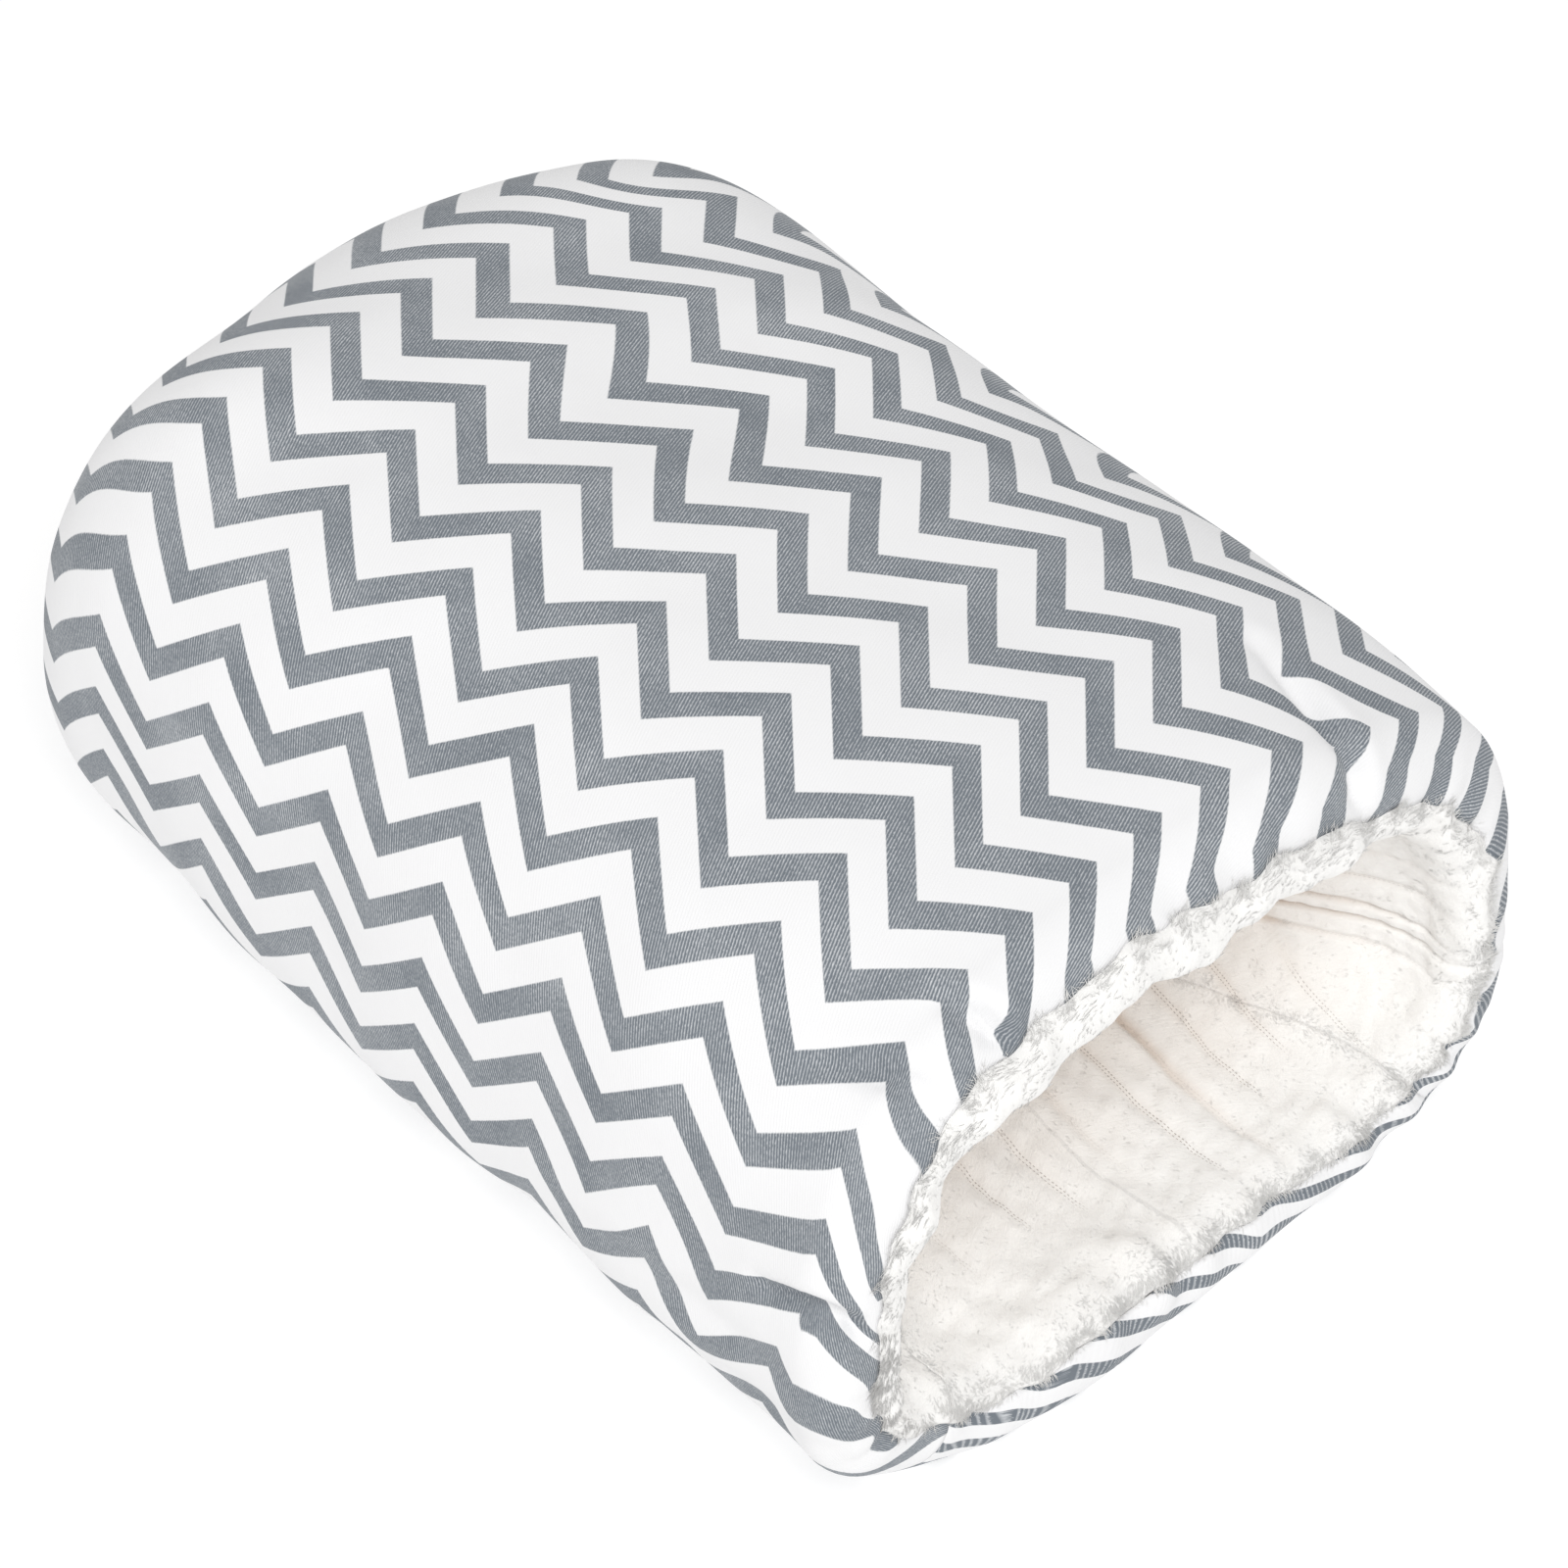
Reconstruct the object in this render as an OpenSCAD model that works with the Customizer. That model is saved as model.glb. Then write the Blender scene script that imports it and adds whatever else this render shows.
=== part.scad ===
/* [Overall size] */
// Length from the mouth to the round end
body_l = 326; // [310:1:345]
// Width across the mouth
mouth_w = 240; // [225:1:250]
// Width just before the round end curves in
back_w = 234; // [225:1:245]
// Height of the crown
crown_h = 142; // [138:1:150]
// Height of the crown just behind the mouth
mouth_h = 136; // [128:1:137]

/* [Outline] */
// Share of the length at which the plan starts to curve in
plan_start = 0.755; // [0.70:0.005:0.80]
// Fullness of the curved plan: 2 is an ellipse, more is squarer
plan_power = 2.7; // [2:0.02:3]
// Share of the length at which the crown starts to fall to the round end
crown_start = 0.765; // [0.74:0.005:0.82]
// Fullness of the crown's fall to the round end
crown_power = 2.72; // [2:0.02:3]
// Share of the length over which the crown rises behind the mouth
rise_share = 0.29; // [0.2:0.005:0.35]
// Squareness of the section above its widest line
upper_power = 3; // [2.2:0.1:3.6]
// Squareness of the section below its widest line
lower_power = 3; // [2.2:0.1:3.2]
// Height of the widest line as a share of the section's height
waist_share = 0.37; // [0.34:0.01:0.48]

/* [Sleeve] */
// Width of the arm tunnel inside the pad
tunnel_w = 130; // [110:1:140]
// Height of the arm tunnel inside the pad
tunnel_h = 50; // [44:1:56]
// Height of the tunnel's floor above the resting surface
tunnel_floor = 24; // [22:1:28]
// Distance from the mouth at which the flared lining has narrowed to the tunnel
funnel_l = 80; // [65:1:100]
// Distance from the round end at which the tunnel starts to narrow to the cuff
cuff_l = 60; // [45:1:80]

/* [Lips] */
// Radius of the padded upper lip of the mouth
top_lip_r = 16; // [14:0.5:20]
// Radius of the thin lower lip of the mouth
low_lip_r = 9; // [7.5:0.5:10]
// Radius of the lip around the cuff at the round end
cuff_lip_r = 7.5; // [7:0.5:9]
// Share of the length at which the cuff's lip starts
cuff_share = 0.972; // [0.96:0.001:0.976]
// Height by which the underside lifts towards the cuff
cuff_rise = 12; // [8:1:16]
// Distance by which the mouth's upper lip is set back from its lower lip
mouth_setback = 16; // [0:1:20]

/* [Materials] */
// Thickness of the printed cotton twill
twill_t = 1.2; // [0.8:0.1:1.5]
// Thickness of the plush lining with its pile pressed down
plush_t = 3; // [2:0.1:3.5]
// Clearance left between neighbouring layers
layer_gap = 0.3; // [0.2:0.05:0.5]
// Thickness of the elastic webbing
elastic_t = 1; // [0.8:0.1:1.2]
// Width of the elastic webbing
elastic_w = 8; // [6:1:10]
// Roll angle of the hem, where cover and lining meet, at the bottom of the mouth
hem_below = 126; // [90:1:140]
// Roll angle of the hem at the top of the mouth (90 is foremost)
hem_above = 88; // [75:1:100]
// Angle below the widest line at which the side seams run
seam_angle = 47; // [40:1:60]

/* [Hidden] */

end_y = body_l / 2;
// the section is sunk by this much, then cut level, so that the underside rests flat
sink = 3;
seam_half_gap = 0.4;
around = 48;
under = round(around * (180 - 2 * seam_angle) / 360);

function mix(a, b, s) = a + (b - a) * s;
function ease(s) = let (c = min(max(s, 0), 1)) c * c * (3 - 2 * c);
function past(f, start) = max(0, (f - start) / (1 - start));

// half width, crown height and underside height of the section at share f of the length
function half_width(f) =
    mix(mouth_w / 2, back_w / 2, min(f / plan_start, 1))
    * sqrt(1 - pow(past(f, plan_start), plan_power));
function crown(f) =
    crown_h * pow(1 - pow(past(f, crown_start), crown_power), 1 / crown_power)
    - (crown_h - mouth_h) * pow(max(0, 1 - f / rise_share), 2.2);
function underside(f) =
    mix(-sink, cuff_rise, pow(max(0, (f - crown_start) / (cuff_share - crown_start)), 2));

// point of a unit superellipse in the direction of angle a
function rounded_square(a, power) =
    [cos(a), sin(a)] / pow(pow(abs(cos(a)), power) + pow(abs(sin(a)), power), 1 / power);
function power_at(a) = sin(a) >= 0 ? upper_power : lower_power;

// [x, z] on a section with half width w between heights lo and hi, moved in by inset
function section_point(w, lo, hi, inset, a) =
    let (
        waist = lo + waist_share * (hi - lo),
        p = rounded_square(a, power_at(a)),
        rise = p[1] >= 0 ? hi - inset - waist : waist - lo - inset
    )
    [(w - inset) * p[0], max(waist + rise * p[1], inset)];
function body_point(f, inset, a) =
    section_point(half_width(f), underside(f), crown(f), inset, a);

// radius of the mouth's lip: thick above, thin below
function mouth_lip(a) = mix(low_lip_r, top_lip_r, (1 + sin(a)) / 2);

// roll angle of the hem: the cover is turned in over the lower lip
function hem_roll(a) = mix(hem_below, hem_above, pow((1 + sin(a)) / 2, 0.6));

// a point of the mouth's lip at roll angle b (0 outside, 90 foremost, 180 inside), sunk by k
function mouth_lip_point(b, k, a) =
    let (
        r = mouth_lip(a),
        q = body_point(0, r - (r - k) * cos(b), a)
    )
    [q[0], -end_y + r - (r - k) * sin(b), q[1]];
// the same for the cuff's lip
function cuff_lip_point(b, k, a) =
    let (
        r = cuff_lip_r,
        q = body_point(cuff_share, r - (r - k) * cos(b), a)
    )
    [q[0], end_y - r + (r - k) * sin(b), q[1]];

// a point of the outside, at share s from the back of the mouth's lip to the cuff's lip
function outside_point(s, k, a) =
    let (
        y = mix(-end_y + mouth_lip(a), end_y - cuff_lip_r, s),
        q = body_point(cuff_share * s, k, a)
    )
    [q[0], y, q[1]];
// a point of the tunnel's wall at distance y, with k measured outward into the pad
function tunnel_point(y, k, a) =
    let (
        p = rounded_square(a, 2.5),
        mouth_y = -end_y + mouth_lip(a),
        cuff_y = end_y - cuff_lip_r,
        narrow = ease((y - mouth_y) / (funnel_l - mouth_lip(a))),
        close = ease((y - (cuff_y - cuff_l)) / cuff_l),
        mouth_q = body_point(0, 2 * mouth_lip(a) - k, a),
        cuff_q = body_point(cuff_share, 2 * cuff_lip_r - k, a),
        tube_q = [(tunnel_w / 2 + k) * p[0],
                  tunnel_floor + tunnel_h / 2 + (tunnel_h / 2 + k) * p[1]],
        front_q = mix(mouth_q, tube_q, narrow),
        q = mix(front_q, cuff_q, close)
    )
    [q[0], y, q[1]];

// profiles: lists of points at one angle a, each from the mouth to the cuff
lip_rolls = [for (b = [88 : -22 : 0]) b];
hem_half_gap = 2;
function outer_roll(i, a) = (hem_roll(a) - hem_half_gap) * lip_rolls[i] / lip_rolls[0];
function inner_roll(i, a) = 180 - (180 - hem_roll(a) - hem_half_gap) * lip_rolls[i] / lip_rolls[0];
side_steps = 14;
side_shares = [for (i = [1 : side_steps - 1]) 1 - pow(1 - i / side_steps, 1.6)];
function outside_profile(k, a) = concat(
    [for (i = [0 : len(lip_rolls) - 1]) mouth_lip_point(outer_roll(i, a), k, a)],
    [for (s = side_shares) outside_point(s, k, a)],
    [for (i = [len(lip_rolls) - 1 : -1 : 0]) cuff_lip_point(lip_rolls[i], k, a)]
);
function tunnel_profile(k, a) = concat(
    [for (i = [0 : len(lip_rolls) - 1]) mouth_lip_point(inner_roll(i, a), k, a)],
    [for (i = [1 : side_steps - 1])
        tunnel_point(mix(-end_y + mouth_lip(a), end_y - cuff_lip_r, i / side_steps), k, a)],
    [for (i = [len(lip_rolls) - 1 : -1 : 0]) cuff_lip_point(180 - lip_rolls[i], k, a)]
);
function band_profile(y0, k, a) =
    [for (i = [0 : 2]) tunnel_point(y0 + elastic_w * i / 2, k, a)];

// the mouth slopes back: a point moves towards the round end by its height, less far from the mouth
function set_back(p) =
    let (
        height = (p[2] - low_lip_r) / (mouth_h - low_lip_r),
        near = max(0, 0.5 - p[1] / body_l)
    )
    [p[0], p[1] + mouth_setback * height * pow(near, 2), p[2]];

// closed solid between two lists of profiles, one profile of each for every angle;
// a full ring joins its last angle to its first, and a panel is capped at both ends
module layer(outer, inner, ring) {
    angles = len(outer);
    n = len(outer[0]);
    loop = 2 * n;
    spans = ring ? angles : angles - 1;
    points = [
        for (j = [0 : angles - 1])
            each concat([for (p = outer[j]) set_back(p)],
                        [for (i = [n - 1 : -1 : 0]) set_back(inner[j][i])])
    ];
    sides = [
        for (j = [0 : spans - 1])
            for (i = [0 : loop - 1])
                let (
                    a = j * loop + i,
                    b = j * loop + (i + 1) % loop,
                    c = ((j + 1) % angles) * loop + (i + 1) % loop,
                    d = ((j + 1) % angles) * loop + i
                )
                each [[a, c, b], [a, d, c]]
    ];
    caps = ring ? [] : [
        for (i = [0 : n - 2])
            let (
                far = (angles - 1) * loop,
                i2 = loop - 1 - i
            )
            each [
                [i, i + 1, i2 - 1], [i, i2 - 1, i2],
                [far + i, far + i2 - 1, far + i + 1], [far + i, far + i2, far + i2 - 1]
            ]
    ];
    polyhedron(points = points, faces = concat(sides, caps), convexity = 8);
}

// the angles of the upper panels, the under panels and the full rings
upper_angles = let (lo = -seam_angle + seam_half_gap, hi = 180 + seam_angle - seam_half_gap)
    [for (j = [0 : around - under]) mix(lo, hi, j / (around - under))];
under_angles = let (lo = 180 + seam_angle + seam_half_gap, hi = 360 - seam_angle - seam_half_gap)
    [for (j = [0 : under]) mix(lo, hi, j / under)];
ring_angles = [for (j = [0 : around - 1]) 360 * j / around];

module cover_panel(angles) {
    layer([for (a = angles) outside_profile(0, a)],
          [for (a = angles) outside_profile(twill_t, a)], false);
}
module lining_panel(angles) {
    layer([for (a = angles) tunnel_profile(plush_t, a)],
          [for (a = angles) tunnel_profile(0, a)], false);
}
module stuffing(angles) {
    layer([for (a = angles) outside_profile(twill_t + layer_gap, a)],
          [for (a = angles) tunnel_profile(plush_t + elastic_t + 2 * layer_gap, a)], false);
}
module elastic_ring(y0) {
    layer([for (a = ring_angles) band_profile(y0, plush_t + layer_gap + elastic_t, a)],
          [for (a = ring_angles) band_profile(y0, plush_t + layer_gap, a)], true);
}

module top_cover() {
    color([0.78, 0.79, 0.80]) cover_panel(upper_angles);
}
module underside_cover() {
    color([0.70, 0.71, 0.73]) cover_panel(under_angles);
}
module lining_upper() {
    color([0.97, 0.95, 0.92]) lining_panel(upper_angles);
}
module lining_lower() {
    color([0.93, 0.89, 0.84]) lining_panel(under_angles);
}
module fill_pad() {
    color([0.98, 0.98, 0.98]) stuffing(upper_angles);
}
module underside_wadding() {
    color([0.92, 0.92, 0.90]) stuffing(under_angles);
}
module mouth_elastic() {
    color([0.95, 0.94, 0.90]) elastic_ring(-end_y + top_lip_r + 2);
}
module cuff_elastic() {
    color([0.95, 0.94, 0.90]) elastic_ring(end_y - cuff_lip_r - 2 - elastic_w);
}

top_cover();
underside_cover();
lining_upper();
lining_lower();
fill_pad();
underside_wadding();
mouth_elastic();
cuff_elastic();
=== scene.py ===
import math

import bpy
import numpy as np
from mathutils import Matrix, Vector


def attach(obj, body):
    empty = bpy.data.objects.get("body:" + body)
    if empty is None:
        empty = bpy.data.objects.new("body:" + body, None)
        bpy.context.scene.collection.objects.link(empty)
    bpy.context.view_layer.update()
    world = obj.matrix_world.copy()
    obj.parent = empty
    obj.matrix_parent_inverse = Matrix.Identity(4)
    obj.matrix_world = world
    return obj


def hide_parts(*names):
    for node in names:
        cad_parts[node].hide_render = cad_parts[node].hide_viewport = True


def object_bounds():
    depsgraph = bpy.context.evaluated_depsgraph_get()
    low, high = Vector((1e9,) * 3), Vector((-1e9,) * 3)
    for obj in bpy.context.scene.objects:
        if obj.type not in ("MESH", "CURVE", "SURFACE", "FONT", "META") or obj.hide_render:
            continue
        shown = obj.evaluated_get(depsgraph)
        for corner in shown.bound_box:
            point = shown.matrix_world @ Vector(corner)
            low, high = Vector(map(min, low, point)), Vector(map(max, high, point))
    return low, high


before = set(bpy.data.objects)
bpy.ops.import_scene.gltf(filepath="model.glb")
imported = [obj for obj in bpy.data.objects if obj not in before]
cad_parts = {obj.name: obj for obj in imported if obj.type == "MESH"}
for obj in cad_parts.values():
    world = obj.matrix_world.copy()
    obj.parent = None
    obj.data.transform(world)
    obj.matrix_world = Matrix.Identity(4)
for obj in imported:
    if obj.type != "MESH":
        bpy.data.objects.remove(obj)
CAD_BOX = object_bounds()

# ---------------------------------------------------------------- sizes, in millimetres
MM = 0.001
LOW, HIGH = (np.array(corner) / MM for corner in CAD_BOX)
BODY_L = HIGH[1] - LOW[1]
MOUTH_W = HIGH[0] - LOW[0]
BACK_W = MOUTH_W * 0.975
CROWN_H = HIGH[2]
MOUTH_H = CROWN_H - 6.0
PLAN_START, PLAN_POWER = 0.755, 2.7
CROWN_START, CROWN_POWER = 0.765, 2.72
RISE_SHARE, RISE_POWER = 0.29, 2.2
UPPER_POWER, LOWER_POWER, TUNNEL_POWER = 3.0, 3.0, 2.5
WAIST_SHARE = 0.37
SINK = 3.0

TUNNEL_W, TUNNEL_H, TUNNEL_FLOOR = 130.0, 50.0, 24.0
FUNNEL_L, NARROW_L = 80.0, 60.0
TOP_LIP, LOW_LIP, CUFF_LIP = 16.0, 9.0, 7.5
CUFF_SHARE, CUFF_RISE = 0.972, 12.0
SETBACK = 16.0
SEAM_ANGLE = 47.0
HEM_BELOW, HEM_ABOVE = math.radians(126), math.radians(88)

COVER_T, PLUSH_T = 0.9, 2.0

# the print: distance between zigzag lines and length of one zigzag, in mm of cloth; then, in shares of
# that distance, how far the zigzag swings, half the line's width, where the first line starts, and how
# far its printed edge wanders
STRIPE_PITCH, REPEAT = 21.6, 38.0
ZIGZAG_SWING, HALF_LINE, FIRST_LINE, EDGE_WANDER = 0.859, 0.215, 0.785, 0.02
# where the print lies on the crown line, in stripes and in repeats
PRINT_ACROSS, PRINT_ALONG = 1.414, 0.063
TWILL_PITCH = 0.74

# millimetres of plush or fibre to one unit of its UV map
UV_MM = 10

# ---------------------------------------------------------------- small maths
def mix(a, b, s):
    return a + (b - a) * s


def ease(s):
    s = np.clip(s, 0, 1)
    return s * s * (3 - 2 * s)


def bump(x, width):
    return np.exp(-(x / width) ** 2)


def past(f, start):
    """How far a share f of the length is past start: 0 up to there, 1 at the end."""
    return np.clip((f - start) / (1 - start), 0, 0.9999)


class Ripple:
    """A smooth random field in space: a seeded sum of waves of about one length."""

    def __init__(self, seed, wavelength, waves=18):
        rng = np.random.default_rng(seed)
        way = rng.normal(size=(waves, 3))
        way /= np.linalg.norm(way, axis=1, keepdims=True)
        self.waves = way * 2 * math.pi / (wavelength * rng.uniform(0.75, 1.5, (waves, 1)))
        self.phase = rng.uniform(0, 2 * math.pi, waves)

    def __call__(self, p):
        total = np.zeros(p.shape[:-1])
        for wave, phase in zip(self.waves, self.phase):
            total += np.sin(p @ wave + phase)
        return total * math.sqrt(2 / len(self.waves))


def gathers(seed, a, count, depth=0.0, twist=0.0):
    """Folds round a ring, as where cloth is gathered: about count of them, uneven, drifting with depth."""
    rng = np.random.default_rng(seed)
    total = 0 * (a + depth)
    for _ in range(7):
        n = int(count * rng.uniform(0.6, 1.5))
        total = total + np.cos(n * a + rng.uniform(0, 2 * math.pi) + twist * rng.uniform(-1, 1) * depth)
    return total * math.sqrt(2 / 7)


# ---------------------------------------------------------------- the body's surfaces
def half_width(f):
    plan = np.sqrt(1 - past(f, PLAN_START) ** PLAN_POWER)
    return mix(MOUTH_W, BACK_W, np.minimum(f / PLAN_START, 1)) / 2 * plan


def crown(f):
    fall = (1 - past(f, CROWN_START) ** CROWN_POWER) ** (1 / CROWN_POWER)
    dip = np.maximum(0, 1 - f / RISE_SHARE) ** RISE_POWER
    return CROWN_H * fall - (CROWN_H - MOUTH_H) * dip


def underside(f):
    return mix(-SINK, CUFF_RISE, np.maximum(0, (f - CROWN_START) / (CUFF_SHARE - CROWN_START)) ** 2)


def rounded_square(a, power):
    c, s = np.cos(a), np.sin(a)
    r = (np.abs(c) ** power + np.abs(s) ** power) ** (-1 / power)
    return c * r, s * r


def body_section(f, inset, a):
    """x and z of the section at share f of the length, moved in by inset, at angle a."""
    w, lo, hi = half_width(f), underside(f), crown(f)
    px, pz = rounded_square(a, np.where(np.sin(a) >= 0, UPPER_POWER, LOWER_POWER))
    waist = mix(lo, hi, WAIST_SHARE)
    rise = np.where(pz >= 0, hi - inset - waist, waist - lo - inset)
    return (w - inset) * px, np.maximum(waist + rise * pz, inset)


def lip_radius(a):
    return mix(LOW_LIP, TOP_LIP, (1 + np.sin(a)) / 2)


def turn_gap(a, centre):
    """Degrees from the angle centre, the short way round."""
    return (np.degrees(a) - centre + 180) % 360 - 180


def hem_roll(a):
    """Roll angle of the seam between cover and lining: the cover is turned in over the lower lip,
    and the plush comes over the upper lip a little on the left and less on the right."""
    even = mix(HEM_BELOW, HEM_ABOVE, ((1 + np.sin(a)) / 2) ** 0.6)
    uneven = 0.05 * np.sin(13 * a) + 0.04 * np.sin(29 * a + 1) + 0.03 * np.sin(47 * a)
    return even - 0.36 * bump(turn_gap(a, 118), 42) + 0.30 * bump(turn_gap(a, 42), 22) + uneven


def set_back(x, y, z):
    """Slopes the mouth: its upper lip stands behind its lower lip."""
    height = (z - LOW_LIP) / (MOUTH_H - LOW_LIP)
    near = np.maximum(0, 0.5 - y / BODY_L)
    return np.stack([x + 0 * y, y + SETBACK * height * near ** 2, z + 0 * y], -1)


def mouth_roll(b, k, a):
    """A point of the mouth's lip at roll angle b: 0 outside, 90 degrees foremost, 180 inside."""
    r = lip_radius(a)
    x, z = body_section(0 * a, r - (r - k) * np.cos(b), a)
    return set_back(x, -BODY_L / 2 + r - (r - k) * np.sin(b), z)


def cuff_roll(b, k, a):
    """The same for the lip of the cuff, at the round end."""
    x, z = body_section(CUFF_SHARE + 0 * a, CUFF_LIP - (CUFF_LIP - k) * np.cos(b), a)
    return set_back(x, BODY_L / 2 - CUFF_LIP + (CUFF_LIP - k) * np.sin(b) + 0 * a, z)


def side(s, k, a):
    """A point of the outside at share s of the way from lip to cuff, k mm below the surface."""
    x, z = body_section(CUFF_SHARE * s + 0 * a, k, a)
    return set_back(x, mix(-BODY_L / 2 + lip_radius(a), BODY_L / 2 - CUFF_LIP, s), z)


def tunnel(s, k, a):
    """A point of the sleeve's wall at share s of the way from lip to cuff, k mm behind the surface."""
    y0, y1 = -BODY_L / 2 + lip_radius(a), BODY_L / 2 - CUFF_LIP
    y = mix(y0, y1, s)
    px, pz = rounded_square(a, TUNNEL_POWER)
    tube_x = (TUNNEL_W / 2 + k) * px
    tube_z = TUNNEL_FLOOR + TUNNEL_H / 2 + (TUNNEL_H / 2 + k) * pz
    narrow = ease((y - y0) / (FUNNEL_L - lip_radius(a)))
    close = ease((y - (y1 - NARROW_L)) / NARROW_L)
    mouth_x, mouth_z = body_section(0 * a, 2 * lip_radius(a) - k, a)
    cuff_x, cuff_z = body_section(CUFF_SHARE + 0 * a, 2 * CUFF_LIP - k, a)
    x = mix(mix(mouth_x, tube_x, narrow), cuff_x, close)
    z = mix(mix(mouth_z, tube_z, narrow), cuff_z, close)
    return set_back(x, y, z)


def rows_of(roll_end, middle, end_roll, k, a, roll_rows, middle_shares, cuff_rows):
    """Stacks the rings of a surface from the mouth's seam to the cuff's seam."""
    rings = [mouth_roll(mix(hem_roll(a), roll_end, i / roll_rows), k, a) for i in range(roll_rows)]
    rings += [middle(s, k, a) for s in middle_shares]
    rings += [cuff_roll(b, k, a) for b in np.linspace(end_roll[0], end_roll[1], cuff_rows + 1)[1:]]
    return np.array(rings)


QUARTER_TURN = math.pi / 2


def outside_grid(k, a, shares, roll_rows=14, cuff_rows=8):
    return rows_of(0, side, (0, QUARTER_TURN), k, a, roll_rows, shares, cuff_rows)


def inside_grid(k, a, shares, roll_rows=16, cuff_rows=8):
    return rows_of(math.pi, tunnel, (math.pi, QUARTER_TURN), k, a, roll_rows, shares, cuff_rows)


def side_shares(steps):
    return 1 - (1 - np.linspace(0, 1, steps)) ** 1.5


def grid_normals(p):
    """Unit normals of a grid that wraps round in its second direction, pointing away from the axis."""
    along = np.gradient(p, axis=0)
    round_ = (np.roll(p, -1, 1) - np.roll(p, 1, 1)) / 2
    n = np.cross(along, round_)
    return n / np.maximum(np.linalg.norm(n, axis=-1, keepdims=True), 1e-9)


def fabric_coordinates(p, a, zero_row):
    """Arc lengths on the grid: across from the crown line, and along from a row towards the mouth."""
    step = np.linalg.norm(np.roll(p, -1, 1) - p, axis=-1)
    run = np.concatenate([np.zeros((len(p), 1)), step.cumsum(1)[:, :-1]], 1)
    crown_col = int(np.argmin(np.abs(a - QUARTER_TURN)))
    across = -(run - run[:, crown_col:crown_col + 1])
    whole = step.sum(1, keepdims=True)
    across = np.where(across > whole * 0.5, across - whole, across)
    climb = np.linalg.norm(np.diff(p, axis=0), axis=-1)
    along = np.concatenate([np.zeros((1, p.shape[1])), climb.cumsum(0)], 0)
    return across, -(along - along[zero_row:zero_row + 1])


# ---------------------------------------------------------------- meshes
def link(name, verts, faces, body="root"):
    mesh = bpy.data.meshes.new(name)
    mesh.from_pydata((verts * MM).tolist(), [], faces)
    mesh.validate()
    mesh.shade_smooth()
    obj = bpy.data.objects.new(name, mesh)
    bpy.context.scene.collection.objects.link(obj)
    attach(obj, body)
    return obj


def set_uv(obj, values, name="fabric"):
    """values: one (u, v) for each vertex."""
    layer = obj.data.uv_layers.new(name=name)
    corners = np.empty(len(obj.data.loops), np.int32)
    obj.data.loops.foreach_get("vertex_index", corners)
    layer.data.foreach_set("uv", values[corners].astype(np.float32).ravel())


def set_shade(obj, values, name="depth"):
    """values: one number for each vertex, for the material to read."""
    layer = obj.data.attributes.new(name, "FLOAT", "POINT")
    layer.data.foreach_set("value", values.astype(np.float32))


def panel(name, outer, inner, columns, uv, shades=None):
    """A closed, thin panel from some columns of an outer and an inner grid."""
    o, i = outer[:, columns], inner[:, columns]
    rows, cols = o.shape[:2]
    verts = np.concatenate([o.reshape(-1, 3), i.reshape(-1, 3)])
    index = np.arange(rows * cols).reshape(rows, cols)
    back = rows * cols
    a, b = index[:-1, :-1].ravel(), index[:-1, 1:].ravel()
    c, d = index[1:, 1:].ravel(), index[1:, :-1].ravel()
    rim = np.concatenate([index[0, :-1], index[:-1, -1], index[-1, :0:-1], index[:0:-1, 0]])
    nxt = np.roll(rim, -1)
    faces = np.concatenate([
        np.stack([a, b, c, d], 1),
        np.stack([a + back, d + back, c + back, b + back], 1),
        np.stack([nxt, rim, rim + back, nxt + back], 1),
    ])
    # the faces look outwards: the volume that they enclose is positive
    p, q, r = verts[faces[:, 0]], verts[faces[:, 1]], verts[faces[:, 2]]
    s = verts[faces[:, 3]]
    volume = (p * np.cross(q, r)).sum() + (p * np.cross(r, s)).sum()
    if volume < 0:
        faces = faces[:, ::-1]
    obj = link(name, verts, faces.tolist())
    flat = uv[:, columns].reshape(-1, 2)
    set_uv(obj, np.concatenate([flat, flat]))
    for shade, values in (shades or {}).items():
        flat = values[:, columns].ravel()
        set_shade(obj, np.concatenate([flat, flat]), shade)
    return obj


# ---------------------------------------------------------------- how the stuffed cloth departs from the body
# name, how far out (mm), at which angle and spread (degrees), at which y and spread (mm)
TRIMS = (
    ("right shoulder is flatter", -3.2, 42, 30, -60, 120),
    ("back left shoulder is rounder", -4.2, 130, 30, 140, 38),
    ("back left foot is drawn in", -4.5, 205, 26, 100, 42),
    ("lower lip sags forward", 5.0, -105, 20, -165, 24),
    ("lower lip droops at the right", 1.6, -75, 20, -165, 24),
)


def trim(p, a):
    total = np.zeros(p.shape[:-1])
    for _, out, angle, spread, y, length in TRIMS:
        total += out * bump(turn_gap(a, angle), spread) * bump(p[..., 1] - y, length)
    return total


def crease(across, along, start, end, width):
    """How deep a point is in a crease between two places on the cloth: 1 on its line, 0 away."""
    ax, ay = start
    bx, by = end[0] - ax, end[1] - ay
    share = np.clip(((across - ax) * bx + (along - ay) * by) / (bx * bx + by * by), 0, 1)
    gap = np.hypot(across - ax - share * bx, along - ay - share * by)
    return bump(gap, width) * (0.35 + 0.65 * np.sin(np.clip(share, 0.05, 0.95) * math.pi))


def side_of(across, along, start, end):
    """Signed distance from the line through two places on the cloth."""
    bx, by = end[0] - start[0], end[1] - start[1]
    return ((across - start[0]) * by - (along - start[1]) * bx) / math.hypot(bx, by)


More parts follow.
